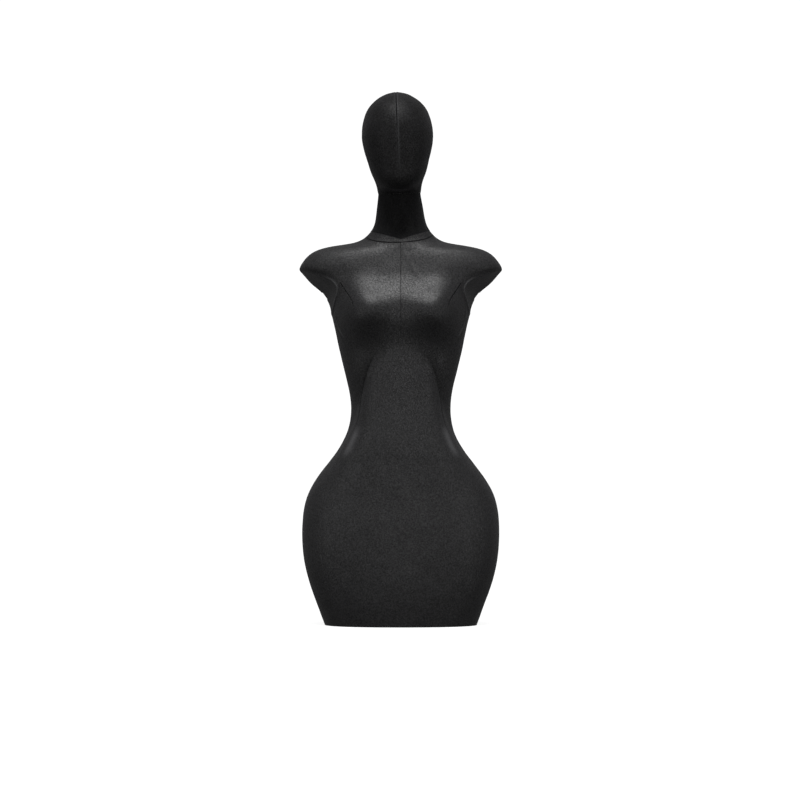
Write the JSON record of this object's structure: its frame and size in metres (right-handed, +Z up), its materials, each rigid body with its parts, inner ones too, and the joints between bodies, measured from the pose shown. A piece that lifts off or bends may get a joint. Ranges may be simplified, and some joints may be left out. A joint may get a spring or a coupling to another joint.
{
  "type": "dress form mannequin",
  "caption": "Fabric-covered half-body display form with cap shoulders, full hips and a plain egg head that turns on a lift-out neck; a clamped pole socket sits inside the hem.",
  "frame": {"origin": "on the resting plane under the hem, on the axis of the pole socket", "axes": "+Z up, the figure faces -Y, so its left side is +X"},
  "size_m": [0.4074, 0.2691, 1.0675],
  "materials": {
    "cover_fabric": "brushed suede-like knit, matt, with a short nap",
    "neck_velvet": "deep black velvet, matt",
    "padding_foam": "thin foam sheet, matt",
    "moulded_shell": "glass-fibre-reinforced resin, satin outside",
    "plywood": "bare plywood, matt",
    "peg_wood": "turned hardwood, waxed",
    "plain_steel": "black powder coat, satin",
    "zinc_steel": "zinc plate, satin",
    "black_plastic": "moulded, matt",
    "white_nylon": "moulded nylon, satin",
    "washer_fibre": "pressed fibre, matt"
  },
  "bodies": {
    "torso": {"cover_front_left": "cover_fabric", "cover_front_right": "cover_fabric", "cover_side_left": "cover_fabric", "cover_side_right": "cover_fabric", "cover_back_left": "cover_fabric", "cover_back_right": "cover_fabric", "neckband": "cover_fabric", "armhole_cover_left": "cover_fabric", "armhole_cover_right": "cover_fabric", "hem_facing": "cover_fabric", "padding_front": "padding_foam", "padding_back": "padding_foam", "torso_shell_front": "moulded_shell", "torso_shell_back": "moulded_shell", "armhole_board_left": "plywood", "armhole_board_right": "plywood", "base_board": "plywood", "pole_socket": "plain_steel", "flange_screws": "zinc_steel", "clamp_nut": "plain_steel", "neck_board": "plywood", "neck_socket": "black_plastic", "socket_screws": "zinc_steel"},
    "clamp": {"clamp_pad": "white_nylon"},
    "thumbscrew": {"thumbscrew_shank": "zinc_steel", "thumbscrew_knob": "black_plastic"},
    "neck": {"neck_cover": "neck_velvet", "neck_shell": "moulded_shell", "neck_base": "plywood", "neck_peg": "peg_wood", "neck_top_plate": "plywood", "head_bolt": "zinc_steel", "friction_washer": "washer_fibre", "spring_washer": "zinc_steel", "lock_nut": "zinc_steel"},
    "head": {"head_cover_left": "cover_fabric", "head_cover_right": "cover_fabric", "head_padding": "padding_foam", "head_shell_front": "moulded_shell", "head_shell_back": "moulded_shell", "head_base_board": "plywood", "head_bush": "white_nylon"}
  },
  "joints": [
    {"name": "neck_lift", "type": "slide", "parent": "torso", "child": "neck", "axis": [-0.0334, -0.289, 0.9567], "range_m": [0, 0.08]},
    {"name": "head_turn", "type": "hinge", "parent": "neck", "child": "head", "pos_m": [-0.00262, -0.001, 0.86345], "axis": [-0.0349, 0, 0.9994], "continuous": true},
    {"name": "clamp_travel", "type": "slide", "parent": "torso", "child": "clamp", "axis": [0, -1, 0], "range_m": [0, 0.004]},
    {"name": "clamp_turn", "type": "hinge", "parent": "clamp", "child": "thumbscrew", "pos_m": [0, 0.04, 0.02], "axis": [0, -1, 0], "range_deg": [0, 1153]}
  ],
  "couplings": [
    {"joint": "clamp_turn", "follows": "clamp_travel", "rad_per_m": 5026.5}
  ]
}
